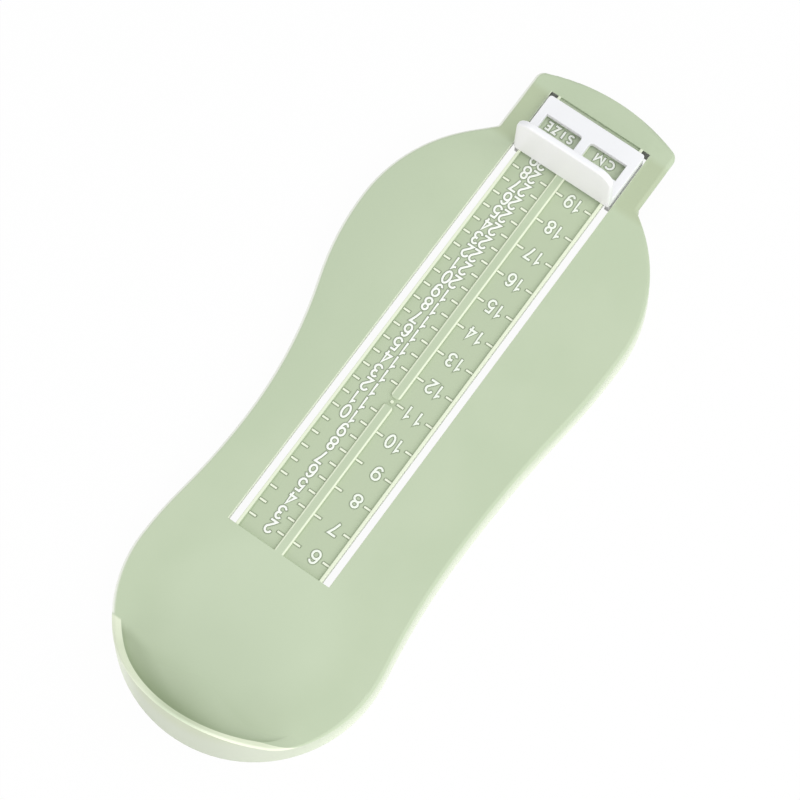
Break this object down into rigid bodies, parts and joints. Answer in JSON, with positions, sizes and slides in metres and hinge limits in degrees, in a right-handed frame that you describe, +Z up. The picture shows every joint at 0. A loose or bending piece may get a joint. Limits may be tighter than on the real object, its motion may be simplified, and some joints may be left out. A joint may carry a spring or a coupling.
{
  "type": "foot measuring device",
  "caption": "Flat foot-shaped measuring board with a heel cup, a sunken double length scale and a toe stop that slides along it.",
  "frame": {"origin": "on the floor plane, on the board's centre line, at the scale's zero, about 3 mm inside the back of the heel", "axes": "+Y from the heel to the toes, along the slider's travel; +Z up, away from the floor; +X to the right"},
  "size_m": [0.0909, 0.2275, 0.0284],
  "materials": {
    "green_plastic": "fine matte moulded",
    "white_plastic": "satin moulded",
    "white_print": "flat print"
  },
  "bodies": {
    "base": {"foot_base": "green_plastic"},
    "slider": {"toe_slider": "white_plastic"}
  },
  "joints": [
    {"name": "slider_travel", "type": "slide", "parent": "base", "child": "slider", "axis": [0, -1, 0], "range_m": [-0.0015, 0.139]}
  ]
}
